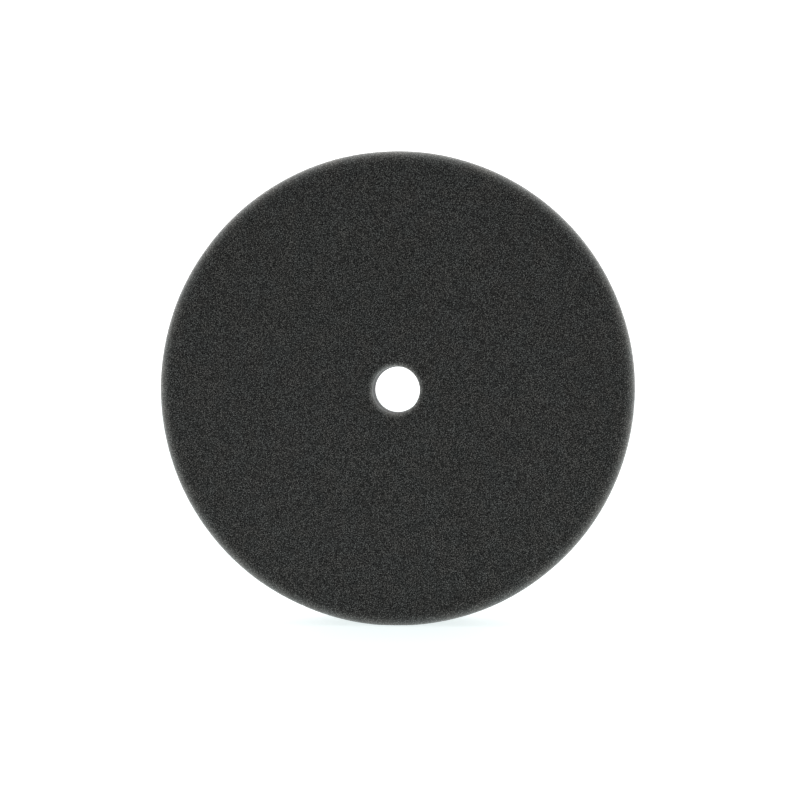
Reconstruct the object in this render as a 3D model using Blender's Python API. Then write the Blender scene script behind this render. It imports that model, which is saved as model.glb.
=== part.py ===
# Foam polishing pad for a dual-action car polisher, standing on its rim.
#
# Frame: metres, +Z up, origin on the floor under the middle of the pad. The pad's own axis
# lies along Y: the working face looks to -Y and the loop backing to +Y.
# The pad is a stack of four bonded layers with one hole through all of them.

import math

import bmesh
import bpy

# Driving dimensions
PAD_DIAMETER = 0.150
PAD_THICKNESS = 0.025        # from the working face to the tops of the loops
HOLE_DIAMETER = 0.0150       # die-cut through every layer
BACKING_DIAMETER = 0.145     # the backing stops short of the foam's edge
FILM_THICKNESS = 0.0004      # hot-melt bond between the foam and the cloth
CLOTH_THICKNESS = 0.0005     # knitted ground that holds the loops
PILE_THICKNESS = 0.0012      # standing loops
LAYER_GAP = 0.0003           # clearance that keeps touching layers separate solids
FACE_EDGE_RADIUS = 0.0033    # rounded outer edge of the working face
BACK_EDGE_RADIUS = 0.0010    # outer edge of the foam on the backing side
HOLE_EDGE_RADIUS = 0.0008    # softened edge of the hole in the working face
REST_WIDTH = 0.0120          # width of the patch where the soft rim settles on the floor

# Facets
TURN_STEPS = 120             # round the axis
CORNER_STEPS = 5             # round each quarter-circle edge

# Places that follow from them
PAD_RADIUS = PAD_DIAMETER / 2
HOLE_RADIUS = HOLE_DIAMETER / 2
BACKING_RADIUS = BACKING_DIAMETER / 2
AXIS_HEIGHT = math.sqrt(PAD_RADIUS ** 2 - (REST_WIDTH / 2) ** 2)
WORKING_FACE_Y = -PAD_THICKNESS / 2
PILE_TOP_Y = PAD_THICKNESS / 2
PILE_ROOT_Y = PILE_TOP_Y - PILE_THICKNESS
CLOTH_BACK_Y = PILE_ROOT_Y - LAYER_GAP
CLOTH_FRONT_Y = CLOTH_BACK_Y - CLOTH_THICKNESS
FILM_BACK_Y = CLOTH_FRONT_Y - LAYER_GAP
FILM_FRONT_Y = FILM_BACK_Y - FILM_THICKNESS
FOAM_BACK_Y = FILM_FRONT_Y - LAYER_GAP


def clear_scene():
    for item in list(bpy.data.objects):
        bpy.data.objects.remove(item, do_unlink=True)


def finish(name, colour, roughness):
    """A plain matt finish in linear colour."""
    material = bpy.data.materials.new(name)
    material.use_nodes = True
    shader = material.node_tree.nodes["Principled BSDF"]
    shader.inputs["Base Color"].default_value = (*colour, 1.0)
    shader.inputs["Roughness"].default_value = roughness
    shader.inputs["Metallic"].default_value = 0.0
    return material


def quarter_circle(centre_radius, centre_y, corner_radius, start_degrees):
    """Profile points (radius, y) along a rounded corner, over a quarter turn."""
    points = []
    for step in range(CORNER_STEPS + 1):
        angle = math.radians(start_degrees + 90 * step / CORNER_STEPS)
        points.append((
            centre_radius + corner_radius * math.cos(angle),
            centre_y + corner_radius * math.sin(angle),
        ))
    return points


def foam_profile():
    """Half section of the foam: hole wall, working face, rim and bonded face in turn."""
    points = quarter_circle(
        HOLE_RADIUS + HOLE_EDGE_RADIUS, WORKING_FACE_Y + HOLE_EDGE_RADIUS, HOLE_EDGE_RADIUS, 180)
    points += quarter_circle(
        PAD_RADIUS - FACE_EDGE_RADIUS, WORKING_FACE_Y + FACE_EDGE_RADIUS, FACE_EDGE_RADIUS, 270)
    points += quarter_circle(
        PAD_RADIUS - BACK_EDGE_RADIUS, FOAM_BACK_Y - BACK_EDGE_RADIUS, BACK_EDGE_RADIUS, 0)
    points.append((HOLE_RADIUS, FOAM_BACK_Y))
    return points


def layer_profile(front_y, back_y):
    """Half section of a flat layer of the backing."""
    return [
        (HOLE_RADIUS, front_y),
        (BACKING_RADIUS, front_y),
        (BACKING_RADIUS, back_y),
        (HOLE_RADIUS, back_y),
    ]


def turned_ring(name, profile, material):
    """Turn a closed half section about the pad's axis into one closed solid."""
    shape = bmesh.new()
    corners = [shape.verts.new((radius, y, 0.0)) for radius, y in profile]
    edges = [shape.edges.new((corners[i - 1], corners[i])) for i in range(len(corners))]
    bmesh.ops.spin(
        shape, geom=corners + edges, cent=(0, 0, 0), axis=(0, 1, 0),
        angle=math.tau, steps=TURN_STEPS, use_merge=True)
    bmesh.ops.recalc_face_normals(shape, faces=shape.faces)
    mesh = bpy.data.meshes.new(name)
    shape.to_mesh(mesh)
    shape.free()
    mesh.shade_smooth()
    mesh.set_sharp_from_angle(angle=math.radians(35))
    mesh.materials.append(material)
    ring = bpy.data.objects.new(name, mesh)
    ring.location = (0, 0, AXIS_HEIGHT)
    bpy.context.collection.objects.link(ring)
    return ring


def floor_cutter():
    """A block under the floor, wider and deeper than the pad, that flattens the rim."""
    depth = PAD_RADIUS
    shape = bmesh.new()
    bmesh.ops.create_cube(shape, size=1.0)
    bmesh.ops.scale(shape, vec=(PAD_DIAMETER, 2 * PAD_THICKNESS, depth), verts=shape.verts)
    mesh = bpy.data.meshes.new("floor_cutter")
    shape.to_mesh(mesh)
    shape.free()
    cutter = bpy.data.objects.new("floor_cutter", mesh)
    cutter.location = (0, 0, -depth / 2)
    cutter.hide_render = True
    cutter.display_type = "WIRE"
    bpy.context.collection.objects.link(cutter)
    return cutter


def make_foam_disc():
    foam = turned_ring(
        "foam_disc", foam_profile(), finish("open_cell_foam", (0.031, 0.032, 0.031), 0.95))
    settle = foam.modifiers.new("settled_rim", "BOOLEAN")
    settle.operation = "DIFFERENCE"
    settle.object = floor_cutter()


def make_bonding_film():
    turned_ring(
        "bonding_film", layer_profile(FILM_FRONT_Y, FILM_BACK_Y),
        finish("hot_melt_film", (0.55, 0.52, 0.44), 0.45))


def make_loop_backing_cloth():
    turned_ring(
        "loop_backing_cloth", layer_profile(CLOTH_FRONT_Y, CLOTH_BACK_Y),
        finish("knitted_ground", (0.020, 0.020, 0.021), 0.85))


def make_loop_pile():
    turned_ring(
        "loop_pile", layer_profile(PILE_ROOT_Y, PILE_TOP_Y),
        finish("nylon_loops", (0.024, 0.024, 0.026), 0.80))


clear_scene()
make_foam_disc()
make_bonding_film()
make_loop_backing_cloth()
make_loop_pile()
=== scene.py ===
# Foam polishing pad for a dual-action polisher, standing on its rim on a white table.
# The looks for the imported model: foam, adhesive line, knitted backing and its loops.
import math
import bpy
import numpy as np
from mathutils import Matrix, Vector, noise


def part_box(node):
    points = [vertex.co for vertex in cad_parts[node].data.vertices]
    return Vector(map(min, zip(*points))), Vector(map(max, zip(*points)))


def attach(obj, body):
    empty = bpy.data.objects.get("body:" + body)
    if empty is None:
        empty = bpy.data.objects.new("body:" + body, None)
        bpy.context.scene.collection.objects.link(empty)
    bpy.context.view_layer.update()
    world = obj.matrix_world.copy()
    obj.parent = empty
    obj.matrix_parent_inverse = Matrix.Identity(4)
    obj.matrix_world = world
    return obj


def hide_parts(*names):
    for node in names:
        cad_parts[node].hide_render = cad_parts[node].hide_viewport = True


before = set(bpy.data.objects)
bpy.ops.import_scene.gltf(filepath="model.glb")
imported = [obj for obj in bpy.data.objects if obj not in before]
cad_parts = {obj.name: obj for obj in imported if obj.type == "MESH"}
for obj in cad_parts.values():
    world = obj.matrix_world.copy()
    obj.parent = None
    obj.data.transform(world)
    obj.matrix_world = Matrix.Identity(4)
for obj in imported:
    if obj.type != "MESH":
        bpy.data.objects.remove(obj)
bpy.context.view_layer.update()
mm = 0.001


def srgb(code):  # "#rrggbb" to linear colour
    parts = [int(code[i:i + 2], 16) / 255 for i in (1, 3, 5)]
    return [c / 12.92 if c <= 0.04045 else ((c + 0.055) / 1.055) ** 2.4 for c in parts] + [1.0]


def addNode(tree, kind, settings=None, links=None):
    node = tree.nodes.new(kind)
    for name, value in (settings or {}).items():
        if isinstance(name, str) and hasattr(node, name):
            setattr(node, name, value)
        else:
            node.inputs[name].default_value = value
    for name, socket in (links or {}).items():
        tree.links.new(socket, node.inputs[name])
    return node


def newMaterial(name):
    material = bpy.data.materials.new(name)
    material.use_nodes = True
    tree = material.node_tree
    return material, tree, tree.nodes["Principled BSDF"]


def addPiece(name, points, faces, material):
    mesh = bpy.data.meshes.new(name)
    mesh.from_pydata(points, [], faces)
    mesh.validate()
    mesh.shade_smooth()
    mesh.materials.append(material)
    piece = bpy.data.objects.new(name, mesh)
    bpy.context.collection.objects.link(piece)
    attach(piece, "root")
    return piece


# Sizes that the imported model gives
foamLow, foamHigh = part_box("foam_disc")
filmLow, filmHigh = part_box("bonding_film")
clothLow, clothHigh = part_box("loop_backing_cloth")
padRadius = (foamHigh.x - foamLow.x) / 2
backingRadius = (clothHigh.x - clothLow.x) / 2
axisHeight = (clothHigh.z + clothLow.z) / 2
holeRadius = min(math.hypot(v.co.x, v.co.z - axisHeight)
                 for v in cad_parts["foam_disc"].data.vertices)
frontY = foamLow.y
bond = 0.05 * mm     # how far each layer sinks into the next, since they are laminated


def turnProfile(stations):
    # Stations go round the half section: (radius, y, points round the axis). Neighbours have the
    # same number of points or one has twice the other's.
    rings = []
    points = []
    for radius, y, count in stations:
        angles = np.arange(count) * (math.tau / count)
        rings.append((len(points), count))
        points += np.stack([radius * np.cos(angles), np.full(count, y),
                            axisHeight + radius * np.sin(angles)], axis=1).tolist()
    faces = []
    for i, (a, na) in enumerate(rings):
        b, nb = rings[(i + 1) % len(rings)]
        for k in range(min(na, nb)):
            n = k + 1
            if na == nb:
                faces.append((a + k, b + k, b + n % nb, a + n % na))
            elif na > nb:
                faces.append((a + 2 * k, b + k, a + 2 * k + 1))
                faces.append((a + 2 * k + 1, b + k, b + n % nb))
                faces.append((a + 2 * k + 1, b + n % nb, a + 2 * n % na))
            else:
                faces.append((a + k, b + 2 * k, b + 2 * k + 1))
                faces.append((a + k, b + 2 * k + 1, a + n % na))
                faces.append((a + n % na, b + 2 * k + 1, b + 2 * n % nb))
    return points, faces


def arc(centreR, centreY, radius, start, steps, count):  # a quarter turn of the half section
    turns = [math.radians(start + 90 * k / steps) for k in range(steps + 1)]
    return [(centreR + radius * math.cos(t), centreY + radius * math.sin(t), count) for t in turns]


def line(startR, startY, endR, endY, spacing, countAt):  # the points between two ends
    steps = max(1, round(math.hypot(endR - startR, endY - startY) / spacing))
    radii = [startR + (endR - startR) * k / steps for k in range(1, steps)]
    return [(r, startY + (endY - startY) * (k + 1) / steps, countAt(r)) for k, r in enumerate(radii)]


def readPoints(mesh):
    places = np.empty(len(mesh.vertices) * 3)
    mesh.vertices.foreach_get("co", places)
    return places.reshape(-1, 3)


def readNormals(mesh):
    outward = np.empty(len(mesh.vertices) * 3)
    mesh.vertex_normals.foreach_get("vector", outward)
    return outward.reshape(-1, 3)


def writePoints(mesh, places):
    places[:, 2] = np.maximum(places[:, 2], 0.0)    # the rim settles flat where it meets the table
    mesh.vertices.foreach_set("co", places.ravel())
    mesh.update()


def radiiOf(places):
    return np.hypot(places[:, 0], places[:, 2] - axisHeight)


def spread(places, factor):  # moves points away from the pad's axis
    places[:, 0] *= factor
    places[:, 2] = axisHeight + (places[:, 2] - axisHeight) * factor


def roughenEdge(places, depth, grain, border):  # moves the cut edge of a layer in and out
    radii = radiiOf(places)
    swing = np.array([noise.noise(Vector(p) / grain) for p in places.tolist()])
    spread(places, 1 + np.where(radii > backingRadius - border, swing, 0) * depth / radii)


holePunch = {
    "driftRight": -0.10 * mm,   # the hole is punched a little off centre
    "driftUp": -0.36 * mm,
    "reach": 14 * mm,           # the foam round it takes up the difference
}


def driftHole(places):
    reach = holePunch["reach"]
    share = np.clip((reach - radiiOf(places)) / (reach - holeRadius), 0, 1)
    places[:, 0] += share * holePunch["driftRight"]
    places[:, 2] += share * holePunch["driftUp"]
    return places


cameraView = {
    "distance": 0.400,       # from the working face
    "right": 1.8,            # degrees off the pad's axis
    "up": 0.4,
    "lens": 57.36,
    "shiftRight": 0.00475,   # the pad sits a little left of and above the middle of the view
    "shiftUp": -0.0141,
    "nearest": 0.01,
}


def placeCamera(face):
    yaw = math.radians(cameraView["right"])
    rise = math.radians(cameraView["up"])
    out = Vector((math.sin(yaw) * math.cos(rise), -math.cos(yaw) * math.cos(rise), math.sin(rise)))
    data = bpy.data.cameras.new("camera")
    data.lens = cameraView["lens"]
    data.shift_x = cameraView["shiftRight"]
    data.shift_y = cameraView["shiftUp"]
    data.clip_start = cameraView["nearest"]
    camera = bpy.data.objects.new("camera", data)
    camera.location = face + out * cameraView["distance"]
    camera.rotation_euler = (-out).to_track_quat("-Z", "Y").to_euler()
    bpy.context.collection.objects.link(camera)
    bpy.context.scene.camera = camera


placeCamera(Vector((0, frontY, axisHeight)))
print("camera placed, pad axis at", round(axisHeight / mm, 2), "mm")


foamLook = {
    "mesh": 0.56 * mm,        # spacing of the strut network, about 45 windows to the inch
    "knot": 0.40 * mm,        # spacing of the knots where struts meet
    # pores painted near black: painted shade inside the cut cells
    "poreShade": "#050505",
    "warmStrut": "#747370",
    "coolStrut": "#727371",
    "strutTone": 0.22,
    # knots painted brighter than the struts: painted highlights
    "knotHighlight": 0.92,
    "relief": 0.12 * mm,      # how far the struts stand over the pores
    "drift": 9 * mm,          # size of the slow light and dark drifts across the slab
    "driftTone": 0.02,
    "dye": 5 * mm,            # size of the patches that take up the black dye differently
    # the paler band along the rounded edge and the hole's edge is painted rim light, standing in for
    # the bright backdrop lighting the edges
    "rimLightReach": 5.3 * mm,         # how far the painted rim light reaches in from the rounded edge
    "holeRimLightReach": 2.2 * mm,
    "rimLightTone": 1.4,
    "rimLightLeft": 0.1,          # share of the painted rim light that is left on the rim and deep in the hole
    "rimLightDepth": 4.0 * mm,    # how far it takes to fade to that
    "rimLightOnPores": 0.6,              # how much of it covers pores as well as struts
    "edge": 3.3 * mm,         # rounded edge of the working face
    "backEdge": 1.0 * mm,
    "holeEdge": 1.2 * mm,
    "pit": 0.6 * mm,          # the cut cells leave small pits in the rounded edge, rim and hole
    "pitDepth": 0.09 * mm,
    "pitLevel": 0.45,         # share of each cell's hollow that stays proud of the surface
    "swell": 22 * mm,         # length and depth of the slow waves in the sliced face
    "wave": 0.10 * mm,
    "sheen": 0.8,
    "sheenRoughness": 0.42,
    "steps": 300,             # points round the hole; rings farther out have 2, 4 or 8 times these
}


def distanceFromAxis(tree, place, right, up):
    centred = addNode(tree, "ShaderNodeVectorMath",
                      {"operation": "SUBTRACT", 1: (right, 0, axisHeight + up)}, {0: place})
    across = addNode(tree, "ShaderNodeVectorMath", {"operation": "MULTIPLY", 1: (1, 0, 1)},
                     {0: centred.outputs["Vector"]})
    return addNode(tree, "ShaderNodeVectorMath", {"operation": "LENGTH"},
                   {0: across.outputs["Vector"]}).outputs["Value"]


def cutFoamCells(tree, place):
    # Thin grey struts between pores painted near black, the painted shade inside the cells, with
    # knots where they meet painted brighter as painted highlights.
    look = foamLook
    walls = addNode(tree, "ShaderNodeTexVoronoi",
                    {"feature": "DISTANCE_TO_EDGE", "Scale": 1 / look["mesh"]}, {"Vector": place})
    struts = addNode(tree, "ShaderNodeMapRange",
                     {"interpolation_type": "SMOOTHSTEP", "From Min": 0.02, "From Max": 0.20,
                      "To Min": look["strutTone"], "To Max": 0.0},
                     {"Value": walls.outputs["Distance"]})
    points = addNode(tree, "ShaderNodeTexVoronoi", {"Scale": 1 / look["knot"]}, {"Vector": place})
    knots = addNode(tree, "ShaderNodeMapRange",
                    {"interpolation_type": "SMOOTHSTEP", "From Min": 0.10, "From Max": 0.45,
                     "To Min": look["knotHighlight"], "To Max": 0.0},
                    {"Value": points.outputs["Distance"]})
    return addNode(tree, "ShaderNodeMath", {"operation": "ADD"},
                   {0: struts.outputs["Result"], 1: knots.outputs["Result"]}).outputs["Value"]


def paintedRimLight(tree, place, cells):
    # Painted rim light: colour painted paler towards the rounded edge and the edge of the hole,
    # standing in for the bright backdrop lighting the edges. It is strongest at the working face and
    # fades further back.
    look = foamLook
    rimGap = distanceFromAxis(tree, place, 0, 0)
    holeGap = distanceFromAxis(tree, place, holePunch["driftRight"], holePunch["driftUp"])
    rim = addNode(tree, "ShaderNodeMapRange",
                  {"From Min": padRadius - look["rimLightReach"], "From Max": padRadius}, {"Value": rimGap})
    hole = addNode(tree, "ShaderNodeMapRange",
                   {"From Min": holeRadius + look["holeRimLightReach"], "From Max": holeRadius},
                   {"Value": holeGap})
    nearEdge = addNode(tree, "ShaderNodeMath", {"operation": "MAXIMUM"},
                       {0: rim.outputs["Result"], 1: hole.outputs["Result"]})
    cubed = addNode(tree, "ShaderNodeMath", {"operation": "POWER", 1: 3.0},
                    {0: nearEdge.outputs["Value"]})
    rimLightGrain = addNode(tree, "ShaderNodeMath", {"operation": "ADD", 1: look["rimLightOnPores"]}, {0: cells})
    rimLightBand = addNode(tree, "ShaderNodeMath", {"operation": "MULTIPLY"},
                     {0: cubed.outputs["Value"], 1: rimLightGrain.outputs["Value"]})
    depth = addNode(tree, "ShaderNodeSeparateXYZ", {}, {0: place})
    fade = addNode(tree, "ShaderNodeMapRange",
                   {"interpolation_type": "SMOOTHSTEP", "From Min": frontY + look["edge"] / 2,
                    "From Max": frontY + look["edge"] / 2 + look["rimLightDepth"],
                    "To Min": look["rimLightTone"], "To Max": look["rimLightLeft"] * look["rimLightTone"]},
                   {"Value": depth.outputs["Y"]})
    return addNode(tree, "ShaderNodeMath", {"operation": "MULTIPLY"},
                   {0: rimLightBand.outputs["Value"], 1: fade.outputs["Result"]}).outputs["Value"]


def polyurethaneFoam():
    # Open-cell polyurethane foam, sliced and die-cut: fully matt, with thin grey struts between pores
    # painted black as painted shade, knots where struts meet painted bright as painted highlights,
    # and a paler band painted along the cut edges as painted rim light.
    # The cells are drawn about twice as coarse as the foam's own, so that they show.
    look = foamLook
    material, tree, shader = newMaterial("polyurethaneFoam")
    place = addNode(tree, "ShaderNodeTexCoord").outputs["Object"]
    cells = cutFoamCells(tree, place)
    drift = addNode(tree, "ShaderNodeTexNoise", {"Scale": 1 / look["drift"], "Detail": 3.0},
                    {"Vector": place})
    shade = addNode(tree, "ShaderNodeMapRange",
                    {"From Min": 0.3, "From Max": 0.7,
                     "To Min": 1 - look["driftTone"], "To Max": 1 + look["driftTone"]},
                    {"Value": drift.outputs["Fac"]})
    # the struts' tone with its slow drifts, plus the painted rim light
    tone = addNode(tree, "ShaderNodeMath", {"operation": "MULTIPLY_ADD"},
                   {0: cells, 1: shade.outputs["Result"], 2: paintedRimLight(tree, place, cells)})
    dye = addNode(tree, "ShaderNodeTexNoise", {"Scale": 1 / look["dye"], "Detail": 0.0},
                  {"Vector": place})
    take = addNode(tree, "ShaderNodeMapRange", {"From Min": 0.35, "From Max": 0.65},
                   {"Value": dye.outputs["Fac"]})
    strut = addNode(tree, "ShaderNodeMix",
                    {"data_type": "RGBA", 6: srgb(look["warmStrut"]), 7: srgb(look["coolStrut"])},
                    {0: take.outputs["Result"]})
    # pores take the painted shade colour; struts, the painted knot highlights and the painted rim
    # light take the strut colour
    colour = addNode(tree, "ShaderNodeMix",
                     {"data_type": "RGBA", "clamp_factor": False, 6: srgb(look["poreShade"])},
                     {0: tone.outputs["Value"], 7: strut.outputs[2]})
    tree.links.new(colour.outputs[2], shader.inputs["Base Color"])
    bump = addNode(tree, "ShaderNodeBump", {"Strength": 0.4, "Distance": look["relief"]},
                   {"Height": cells})
    tree.links.new(bump.outputs["Normal"], shader.inputs["Normal"])
    shader.inputs["Roughness"].default_value = 0.95
    shader.inputs["Specular IOR Level"].default_value = 0.05
    shader.inputs["Sheen Weight"].default_value = look["sheen"]
    shader.inputs["Sheen Roughness"].default_value = look["sheenRoughness"]
    shader.inputs["Sheen Tint"].default_value = srgb("#fafafa")
    return material


def foamSection():
    hole, edge, back, lip = holeRadius, foamLook["edge"], foamLook["backEdge"], foamLook["holeEdge"]
    steps = foamLook["steps"]
    backY = filmLow.y + bond
    rimY = frontY + edge + 0.4 * mm
    stations = arc(hole + lip, frontY + lip, lip, 180, 6, steps)
    stations += line(hole + lip, frontY, padRadius - edge, frontY, 2 * mm,
                     lambda r: steps * (1 if r < 30 * mm else 2 if r < 68 * mm else 4))
    stations += arc(padRadius - edge, frontY + edge, edge, 270, 18, 8 * steps)
    stations += [(padRadius, rimY, 4 * steps)]
    stations += line(padRadius, rimY, padRadius, backY - back, 0.6 * mm, lambda r: 2 * steps)
    stations += arc(padRadius - back, backY - back, back, 0, 4, 2 * steps)
    stations += [(backingRadius - 1 * mm, backY, 2 * steps), (40 * mm, backY, steps)]
    stations += [(hole, backY, steps)]
    return stations + line(hole, backY, hole, frontY + lip, 0.5 * mm, lambda r: steps)


def makeFoam():
    look = foamLook
    points, faces = turnProfile(foamSection())
    piece = addPiece("foamDisc", points, faces, polyurethaneFoam())
    places, outward = readPoints(piece.data), readNormals(piece.data)
    depth = np.empty(len(places))
    for k, place in enumerate(places.tolist()):
        p = Vector(place)
        walls = noise.voronoi(p / look["pit"])[0]
        pit = min(1.0, (walls[1] - walls[0]) * 2.5) - look["pitLevel"]
        rounded = min(1.0, 2 * (1 + outward[k][1]))           # none in the sliced face itself
        depth[k] = pit * rounded * look["pitDepth"] + noise.noise(p / look["swell"]) * look["wave"]
    writePoints(piece.data, driftHole(places - outward * depth[:, None]))
    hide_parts("foam_disc")
    print("foam:", len(points), "points")


makeFoam()


filmLook = {
    "colour": "#9a9280",
    "thin": "#4a463c",       # thin spots, where the foam shows through
    "web": 1.2 * mm,         # spacing of the melted web's strands
    "relief": 0.1 * mm,
    "squeeze": 0.35 * mm,    # how far the melted film creeps past the cloth here and there
    "creep": 2.5 * mm,       # length of each such tongue
    "steps": 900,
}


def hotMeltAdhesive():
    # Hot-melt adhesive web, melted and pressed: waxy and cream, half clear, with a soft gloss.
    look = filmLook
    material, tree, shader = newMaterial("hotMeltAdhesive")
    place = addNode(tree, "ShaderNodeTexCoord").outputs["Object"]
    web = addNode(tree, "ShaderNodeTexNoise", {"Scale": 1 / look["web"], "Detail": 4.0},
                  {"Vector": place})
    colour = addNode(tree, "ShaderNodeValToRGB", {}, {"Fac": web.outputs["Fac"]})
    thin, thick = colour.color_ramp.elements
    thin.position = 0.35
    thin.color = srgb(look["thin"])
    thick.position = 0.60
    thick.color = srgb(look["colour"])
    tree.links.new(colour.outputs["Color"], shader.inputs["Base Color"])
    bump = addNode(tree, "ShaderNodeBump", {"Strength": 0.5, "Distance": look["relief"]},
                   {"Height": web.outputs["Fac"]})
    tree.links.new(bump.outputs["Normal"], shader.inputs["Normal"])
    shader.inputs["Roughness"].default_value = 0.38
    shader.inputs["Subsurface Weight"].default_value = 0.2
    shader.inputs["Subsurface Radius"].default_value = (1.0, 0.8, 0.6)
    shader.inputs["Subsurface Scale"].default_value = 0.5 * mm
    return material


def makeFilm():
    steps = filmLook["steps"]
    low, high = filmLow.y - bond, filmHigh.y + bond
    middle, half = (low + high) / 2, (high - low) / 2
    border = 1 * mm
    stations = [(holeRadius, low, steps), (backingRadius - border, low, steps)]
    stations += arc(backingRadius - half, middle, half, 270, 4, steps)
    stations += arc(backingRadius - half, middle, half, 0, 4, steps)[1:]
    stations += [(backingRadius - border, high, steps), (holeRadius, high, steps)]
    points, faces = turnProfile(stations)
    piece = addPiece("bondingFilm", points, faces, hotMeltAdhesive())
    places = readPoints(piece.data)
    roughenEdge(places, filmLook["squeeze"], filmLook["creep"], 0.9 * border)
    writePoints(piece.data, driftHole(places))
    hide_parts("bonding_film")
    print("film:", len(points), "points")
    return piece


film = makeFilm()


clothLook = {
    "wale": 1.1 * mm,       # width of one knitted rib
    "course": 0.9 * mm,     # height of one row of stitches
    "yarn": "#141416",
    # the gaps between the yarns are painted darker: painted shade in the hollows of the knit
    "gapShade": "#060607",
    "relief": 0.25 * mm,
    "lip": 0.3 * mm,        # rounding of the cut edge
    "nibble": 0.2 * mm,     # how far the cut edge follows the stitches in and out
    "stitch": 0.8 * mm,
    "steps": 600,
}


def knittedNylon():
    # Warp-knitted nylon ground, dyed black: upright ribs crossed by rows of stitches, dull, with
    # the gaps between the yarns painted darker, as painted shade in the hollows of the knit.
    look = clothLook
    unscaled = 0.314    # how often a wave texture of scale 1 repeats
    material, tree, shader = newMaterial("knittedNylon")
    place = addNode(tree, "ShaderNodeTexCoord").outputs["Object"]
    ribs = addNode(tree, "ShaderNodeTexWave",
                   {"wave_type": "BANDS", "bands_direction": "X",
                    "Scale": unscaled / look["wale"],
                    "Distortion": 0.6, "Detail": 1.0, "Detail Scale": 2.0}, {"Vector": place})
    rows = addNode(tree, "ShaderNodeTexWave",
                   {"wave_type": "BANDS", "bands_direction": "Z",
                    "Scale": unscaled / look["course"],
                    "Distortion": 0.8, "Detail": 1.0, "Detail Scale": 2.0}, {"Vector": place})
    knit = addNode(tree, "ShaderNodeMath", {"operation": "MULTIPLY"},
                   {0: ribs.outputs["Fac"], 1: rows.outputs["Fac"]})
    colour = addNode(tree, "ShaderNodeMix",
                     {"data_type": "RGBA", 6: srgb(look["gapShade"]), 7: srgb(look["yarn"])},
                     {0: knit.outputs["Value"]})
    tree.links.new(colour.outputs[2], shader.inputs["Base Color"])
    bump = addNode(tree, "ShaderNodeBump", {"Strength": 0.8, "Distance": look["relief"]},
                   {"Height": knit.outputs["Value"]})
    tree.links.new(bump.outputs["Normal"], shader.inputs["Normal"])
    shader.inputs["Roughness"].default_value = 0.75
    shader.inputs["Sheen Weight"].default_value = 0.3
    shader.inputs["Sheen Roughness"].default_value = 0.5
    return material


def makeCloth():
    lip, steps = clothLook["lip"], clothLook["steps"]
    low, high = filmHigh.y, clothHigh.y + bond
    stations = [(holeRadius, low, steps)]
    stations += line(holeRadius, low, backingRadius - lip, low, 3 * mm, lambda r: steps)
    stations += arc(backingRadius - lip, low + lip, lip, 270, 3, 2 * steps)
    stations += arc(backingRadius - lip, high - lip, lip, 0, 3, 2 * steps)
    stations += line(backingRadius - lip, high, holeRadius, high, 1.5 * mm, lambda r: steps)
    stations += [(holeRadius, high, steps)]
    points, faces = turnProfile(stations)
    piece = addPiece("backingCloth", points, faces, knittedNylon())
    places = readPoints(piece.data)
    roughenEdge(places, clothLook["nibble"], clothLook["stitch"], 0.5 * mm)
    writePoints(piece.data, driftHole(places))
    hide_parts("loop_backing_cloth")
    print("cloth:", len(points), "points")
    return piece


cloth = makeCloth()


pileLook = {
    "wale": 1.1 * mm,          # loops stand on the ribs of the ground cloth
    "spacing": 1.95 * mm,      # along a rib
    "stray": 0.10 * mm,        # how far roots wander across a rib
    "strayAlong": 0.25 * mm,   # and along it
    "turn": 0.7,               # how far arches turn off the ribs, in radians
    "yarn": 0.20 * mm,         # thickness of a loop's bundle of filaments
    "border": 0.5 * mm,        # bare cloth at the cut edges
    "shear": 0.4 * mm,         # how far loops reach past the cloth's edge
    "holeShear": 0.2 * mm,     # and how far they stay back from the hole
    "colour": "#2c2c2f",
    "fibre": "#121214",
    "bundle": 0.8 * mm,        # size of the light and dark patches of filaments
}
standingLoops = {
    "seed": 7,
    "shift": 0.0,                        # in ribs and spacings
    "height": (0.95 * mm, 1.45 * mm),
    "span": (1.1 * mm, 1.9 * mm),
    "lean": 0.50,
}
lyingLoops = {
    "seed": 12,
    "shift": 0.5,
    "height": (0.40 * mm, 0.90 * mm),
    "span": (1.4 * mm, 2.4 * mm),
    "lean": 0.90,
}


def brushedNylon():
    # Brushed nylon loops, dyed black: bundles of fine filaments with a soft silky sheen.
    # The yarn is drawn about twice as thick as a real loop's, so that it shows.
    look = pileLook
    material, tree, shader = newMaterial("brushedNylon")
    place = addNode(tree, "ShaderNodeTexCoord").outputs["Object"]
    bundles = addNode(tree, "ShaderNodeTexNoise", {"Scale": 1 / look["bundle"], "Detail": 2.0},
                      {"Vector": place})
    colour = addNode(tree, "ShaderNodeMix",
                     {"data_type": "RGBA", 6: srgb(look["fibre"]), 7: srgb(look["colour"])},
                     {0: bundles.outputs["Fac"]})
    tree.links.new(colour.outputs[2], shader.inputs["Base Color"])
    shader.inputs["Roughness"].default_value = 0.5
    shader.inputs["Sheen Weight"].default_value = 0.1
    shader.inputs["Sheen Roughness"].default_value = 0.3
    return material


def loopRoots(draw, shift):
    # Roots go rib by rib, staggered, inside the ring that the die cut leaves.
    wale, spacing, border = pileLook["wale"], pileLook["spacing"], pileLook["border"]
    ribs = int(backingRadius / wale) + 1
    rows = int(backingRadius / spacing) + 1
    i, j = np.meshgrid(np.arange(-ribs, ribs + 1), np.arange(-rows, rows + 1), indexing="ij")
    x = (i + shift) * wale + draw.normal(0, pileLook["stray"], i.shape)
    z = (j + shift + 0.5 * (i % 2)) * spacing + draw.normal(0, pileLook["strayAlong"], i.shape)
    radii = np.hypot(x, z)
    kept = (radii < backingRadius - border) & (radii > holeRadius + border)
    return x[kept], z[kept]


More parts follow.
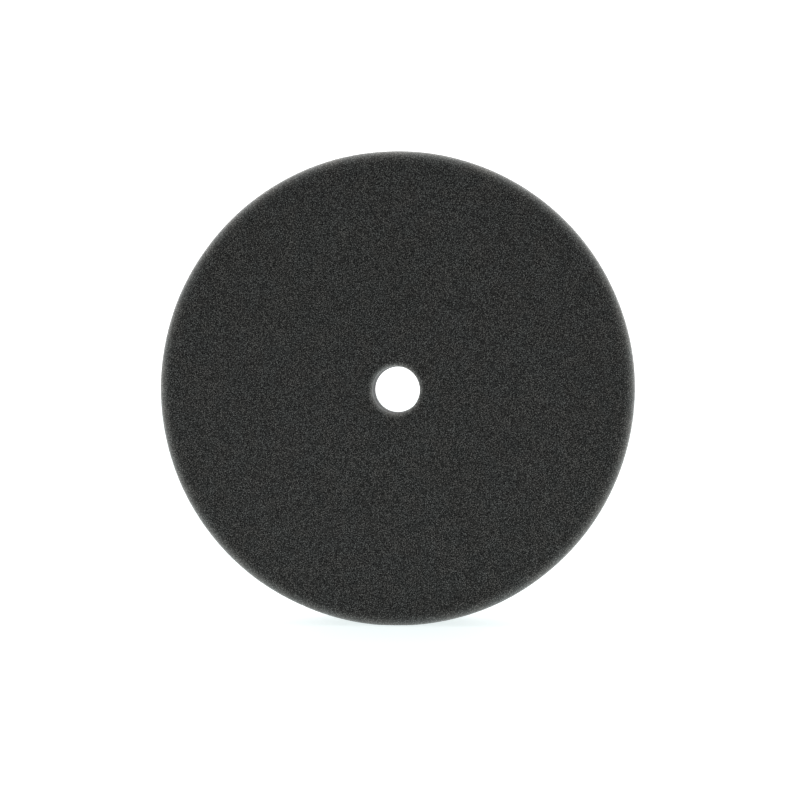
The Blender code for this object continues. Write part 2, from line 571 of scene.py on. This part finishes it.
def loopPaths(draw, loops):
    # Each loop is an arch of five points with its two feet in the ground cloth.
    x, z = loopRoots(draw, loops["shift"])
    count = len(x)
    height = draw.uniform(*loops["height"], count)
    span = draw.uniform(*loops["span"], count)
    heading = draw.normal(math.pi / 2, pileLook["turn"], count)    # mostly along the ribs
    along = np.stack([np.cos(heading), np.zeros(count), np.sin(heading)], axis=1)
    side = np.stack([-np.sin(heading), np.zeros(count), np.cos(heading)], axis=1)
    leanSide = draw.normal(0, loops["lean"], count)
    leanAlong = draw.normal(0, loops["lean"], count)
    tip = side * leanSide[:, None] + along * leanAlong[:, None] + np.array([0, 1, 0])
    root = np.stack([x, np.full(count, clothHigh.y), z + axisHeight], axis=1)
    reach = np.array([-0.32, -0.50, 0.0, 0.50, 0.32])
    rise = np.array([0.0, 0.62, 1.0, 0.62, 0.0])
    path = (root[:, None] + along[:, None] * (reach[:, None] * span[:, None, None])
            + tip[:, None] * (rise[:, None] * height[:, None, None]))
    return path, side


def makeLoops(name, loops, material):
    # The yarn has three sides, swept along each arch.
    draw = np.random.default_rng(loops["seed"])
    path, side = loopPaths(draw, loops)
    count = len(path)
    tangent = np.gradient(path, axis=1)
    tangent /= np.linalg.norm(tangent, axis=2, keepdims=True)
    normal = np.cross(tangent, np.broadcast_to(side[:, None], tangent.shape))
    normal /= np.linalg.norm(normal, axis=2, keepdims=True)
    flank = np.cross(normal, tangent)
    corners = np.radians([90, 210, 330])[:, None]
    across = np.cos(corners) * flank[:, :, None] + np.sin(corners) * normal[:, :, None]
    yarn = pileLook["yarn"] / 2 * draw.uniform(0.7, 1.3, count)
    points = path[:, :, None] + yarn[:, None, None, None] * across
    sides = [(3 * s + k, 3 * s + (k + 1) % 3, 3 * s + (k + 1) % 3 + 3, 3 * s + k + 3)
             for s in range(4) for k in range(3)]
    ends = [(2, 1, 0), (12, 13, 14)]
    firsts = 15 * np.arange(count)[:, None]
    faces = [face for shape in sides + ends for face in (firsts + np.array(shape)).tolist()]
    piece = addPiece(name, points.reshape(-1, 3).tolist(), faces, material)
    places = readPoints(piece.data)
    # the loops at both cut edges are sheared off with the cloth
    radii = radiiOf(places)
    low, high = holeRadius + pileLook["holeShear"], backingRadius + pileLook["shear"]
    spread(places, np.clip(radii, low, high) / radii)
    writePoints(piece.data, driftHole(places))
    print(name + ":", count, "loops")
    return piece


nylon = brushedNylon()
standing = makeLoops("loopPile", standingLoops, nylon)
lying = makeLoops("loopNap", lyingLoops, nylon)
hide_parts("loop_pile")


studio = {
    "front": 0.5,           # the room in front of the pad
    "back": 1.8,            # the lit backdrop behind it
    "blend": 0.10,          # how softly one turns into the other
    "backdrop": 1.6,        # the same backdrop as the camera sees it
    "overhead": 10.0,       # a round lamp above and a little behind
    "overheadPlace": (0, 0.1, 1.4),
    "overheadSize": 1.2,
    "tableSize": 6.0,
    "table": 0.30,          # how much light the table throws back
    "tableTint": "#f6ffff",
    "tableSeen": 0.82,      # glow of the light table as the camera sees it
    # and as the pad sees it, from the front of the table to the back: from, to, glow at each
    "tableGlow": [(-0.35, -0.03, 0.28, 0.94), (-0.03, -0.005, 0.0, -0.40), (0.02, 0.10, 0.0, 0.90)],
}


def whiteAcrylic():
    # White acrylic light table, lit from below: only the faintest shadow shows on it.
    material, tree, shader = newMaterial("whiteAcrylic")
    place = addNode(tree, "ShaderNodeTexCoord").outputs["Object"]
    depth = addNode(tree, "ShaderNodeSeparateXYZ", {}, {0: place}).outputs["Y"]
    steps = [addNode(tree, "ShaderNodeMapRange",
                     {"From Min": start, "From Max": end, "To Min": low, "To Max": high},
                     {"Value": depth}).outputs["Result"]
             for start, end, low, high in studio["tableGlow"]]
    glow = steps[0]
    for step in steps[1:]:
        glow = addNode(tree, "ShaderNodeMath", {"operation": "ADD"},
                       {0: glow, 1: step}).outputs["Value"]
    seen = addNode(tree, "ShaderNodeLightPath").outputs["Is Camera Ray"]
    strength = addNode(tree, "ShaderNodeMix", {"B": studio["tableSeen"]}, {"Factor": seen, "A": glow})
    tree.links.new(strength.outputs["Result"], shader.inputs["Emission Strength"])
    shader.inputs["Base Color"].default_value = (*[studio["table"]] * 3, 1)
    shader.inputs["Roughness"].default_value = 0.6
    shader.inputs["Emission Color"].default_value = srgb(studio["tableTint"])
    return material


def makeTable():
    size = studio["tableSize"]
    mesh = bpy.data.meshes.new("table")
    corners = [(-size, -size, 0), (size, -size, 0), (size, size, 0), (-size, size, 0)]
    mesh.from_pydata(corners, [], [(0, 1, 2, 3)])
    mesh.materials.append(whiteAcrylic())
    table = bpy.data.objects.new("table", mesh)
    bpy.context.collection.objects.link(table)


def makeOverhead():
    place = Vector(studio["overheadPlace"])
    data = bpy.data.lights.new("overhead", "AREA")
    data.shape = "DISK"
    data.size = studio["overheadSize"]
    data.energy = studio["overhead"]
    lamp = bpy.data.objects.new("overhead", data)
    lamp.location = place
    lamp.rotation_euler = (-place).to_track_quat("-Z", "Y").to_euler()
    lamp.visible_camera = False
    bpy.context.collection.objects.link(lamp)


def makeBackdrop():
    # A bright backdrop behind the pad and a dim room in front of it.
    world = bpy.data.worlds.new("studio")
    world.use_nodes = True
    tree = world.node_tree
    background = tree.nodes["Background"]
    direction = addNode(tree, "ShaderNodeTexCoord").outputs["Generated"]
    split = addNode(tree, "ShaderNodeSeparateXYZ", {}, {0: direction})
    glow = addNode(tree, "ShaderNodeMapRange",
                   {"interpolation_type": "SMOOTHSTEP",
                    "From Min": -studio["blend"], "From Max": studio["blend"],
                    "To Min": studio["front"], "To Max": studio["back"]},
                   {"Value": split.outputs["Y"]})
    seen = addNode(tree, "ShaderNodeLightPath").outputs["Is Camera Ray"]
    strength = addNode(tree, "ShaderNodeMix", {"B": studio["backdrop"]},
                       {"Factor": seen, "A": glow.outputs["Result"]})
    background.inputs["Color"].default_value = (1, 1, 1, 1)
    tree.links.new(strength.outputs["Result"], background.inputs["Strength"])
    bpy.context.scene.world = world
    bpy.context.scene.view_settings.view_transform = "Standard"


makeTable()
makeBackdrop()
makeOverhead()
print("studio ready")
